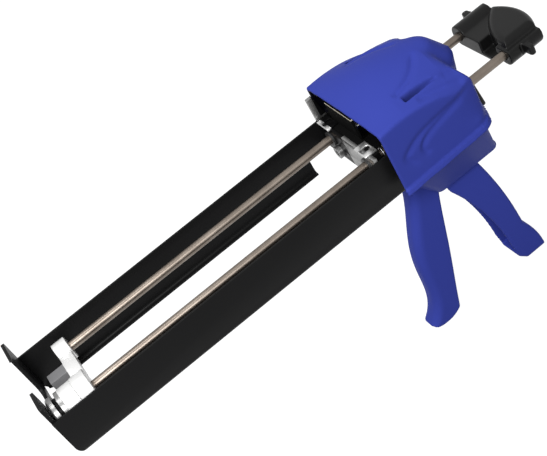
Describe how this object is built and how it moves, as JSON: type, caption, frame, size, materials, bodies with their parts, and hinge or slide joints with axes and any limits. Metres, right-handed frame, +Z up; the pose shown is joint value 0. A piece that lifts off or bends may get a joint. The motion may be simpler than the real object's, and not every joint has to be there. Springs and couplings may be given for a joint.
{
  "type": "dual cartridge caulking gun",
  "caption": "Manual side-by-side cartridge dispensing gun: open black carriage, steel rods with pushers, blue hood, handle and trigger, black pull knob",
  "frame": {"origin": "midway between the two rods, on the front face of the rear plate that the cartridges seat on", "axes": "+X to the rear along the rods, +Y to the gun's right, +Z up with the handle hanging down"},
  "size_m": [0.4454, 0.1028, 0.2458],
  "materials": {
    "black_steel": "satin black paint on folded steel",
    "plated_steel": "bright zinc plate",
    "rod_steel": "ground steel",
    "cast_zinc": "pale yellow passivated zinc",
    "blue_plastic": "moulded, fine satin grain",
    "black_plastic": "moulded, satin",
    "bush_plastic": "turned bearing plastic",
    "spring_steel": "drawn wire"
  },
  "bodies": {
    "frame": {"left_wall": "black_steel", "right_wall": "black_steel", "front_plate": "black_steel", "rear_plate": "plated_steel", "flange_tabs": "plated_steel", "guide_block": "black_steel", "stop_plate": "cast_zinc", "rod_bushes": "bush_plastic", "rear_plate_bolts": "plated_steel", "left_cheek": "black_steel", "right_cheek": "black_steel", "trigger_pin": "rod_steel", "release_pin": "rod_steel", "hood": "blue_plastic", "grip_body": "blue_plastic", "rear_bushes": "bush_plastic", "return_springs": "spring_steel", "brake_springs": "spring_steel"},
    "plunger": {"left_rod": "rod_steel", "right_rod": "rod_steel", "left_pusher_flange": "plated_steel", "left_pusher_drum": "plated_steel", "left_pusher_nose": "plated_steel", "right_pusher": "plated_steel", "pusher_link": "plated_steel", "pusher_screws": "plated_steel", "pull_knob": "black_plastic", "knob_pins": "rod_steel"},
    "trigger": {"trigger": "blue_plastic", "trigger_bush": "rod_steel"},
    "drive": {"drive_plate": "plated_steel"},
    "release": {"release_lever": "black_plastic", "brake_plate": "plated_steel"}
  },
  "joints": [
    {"name": "plunger_slide", "type": "slide", "parent": "frame", "child": "plunger", "axis": [1, 0, 0], "range_m": [0, 0.23]},
    {"name": "trigger_hinge", "type": "hinge", "parent": "frame", "child": "trigger", "pos_m": [0.046, 0, -0.034], "axis": [0, -1, 0], "range_deg": [0, 20], "stiffness_Nm_per_rad": 2, "springref_deg": -20.05},
    {"name": "drive_slide", "type": "slide", "parent": "frame", "child": "drive", "axis": [-1, 0, 0], "range_m": [0, 0.011], "deforming": ["return_springs"]},
    {"name": "release_hinge", "type": "hinge", "parent": "frame", "child": "release", "pos_m": [0.076, 0, -0.016], "axis": [0, 1, 0], "range_deg": [0, 8], "stiffness_Nm_per_rad": 1.5, "springref_deg": -11.46, "deforming": ["brake_springs"]}
  ],
  "couplings": [
    {"joint": "drive_slide", "follows": "trigger_hinge", "m_per_rad": 0.03}
  ]
}
